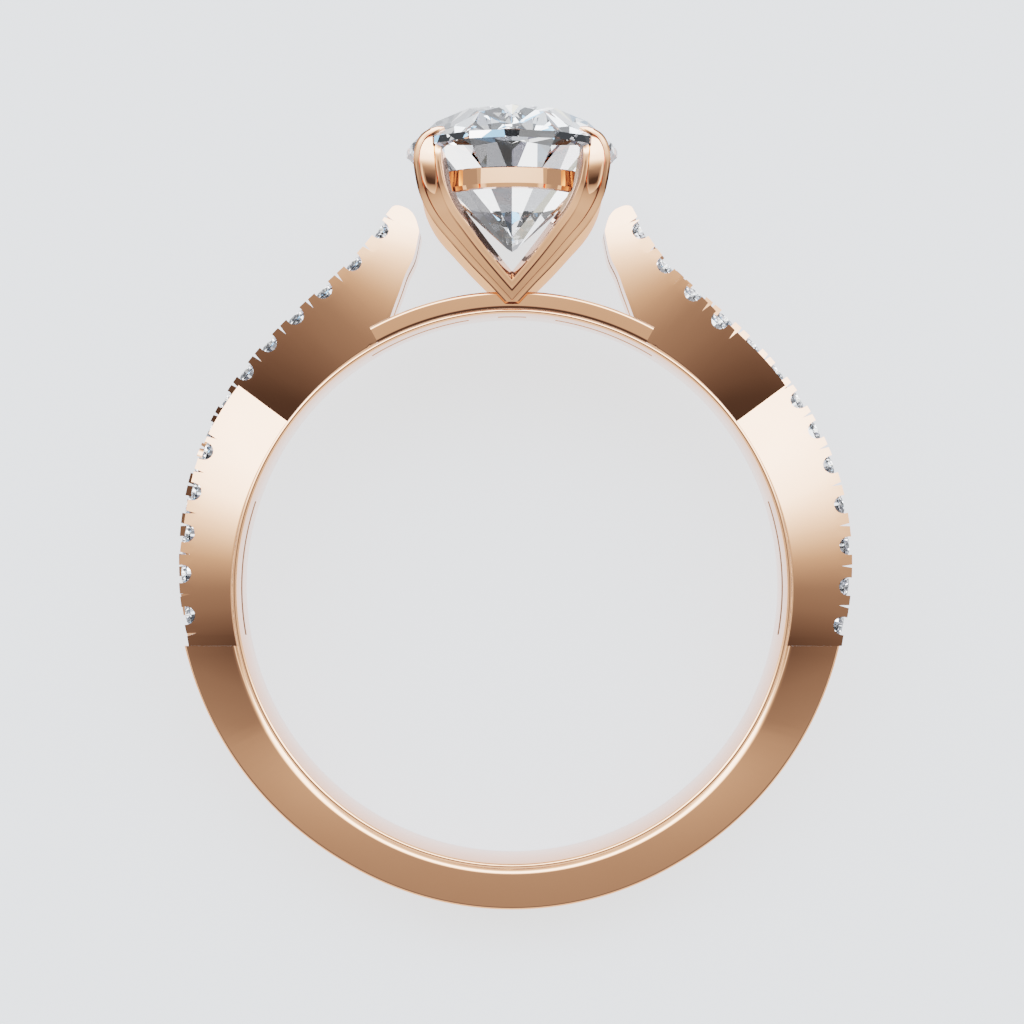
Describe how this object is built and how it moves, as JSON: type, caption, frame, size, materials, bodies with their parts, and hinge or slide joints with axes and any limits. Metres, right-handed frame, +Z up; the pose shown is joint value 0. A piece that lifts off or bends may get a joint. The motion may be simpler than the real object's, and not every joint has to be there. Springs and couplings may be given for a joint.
{
  "type": "diamond ring",
  "caption": "Ring with a large oval stone in a claw basket on V-shaped bars, over a shank of twisted pave strands that merge into a plain band.",
  "frame": {"origin": "centre of the ring's footprint, on the surface that it lies on", "axes": "+Z up, +Y along the ring towards the centre stone, +X across the finger hole"},
  "size_m": [0.0212, 0.0254, 0.0092],
  "materials": {
    "rose_gold": "high polish",
    "diamond": "polished facets"
  },
  "bodies": {
    "root": {"ring_mount": "rose_gold", "centre_stone": "diamond", "pave_left_over": "diamond", "pave_left_under": "diamond", "pave_right_over": "diamond", "pave_right_under": "diamond"}
  },
  "joints": []
}
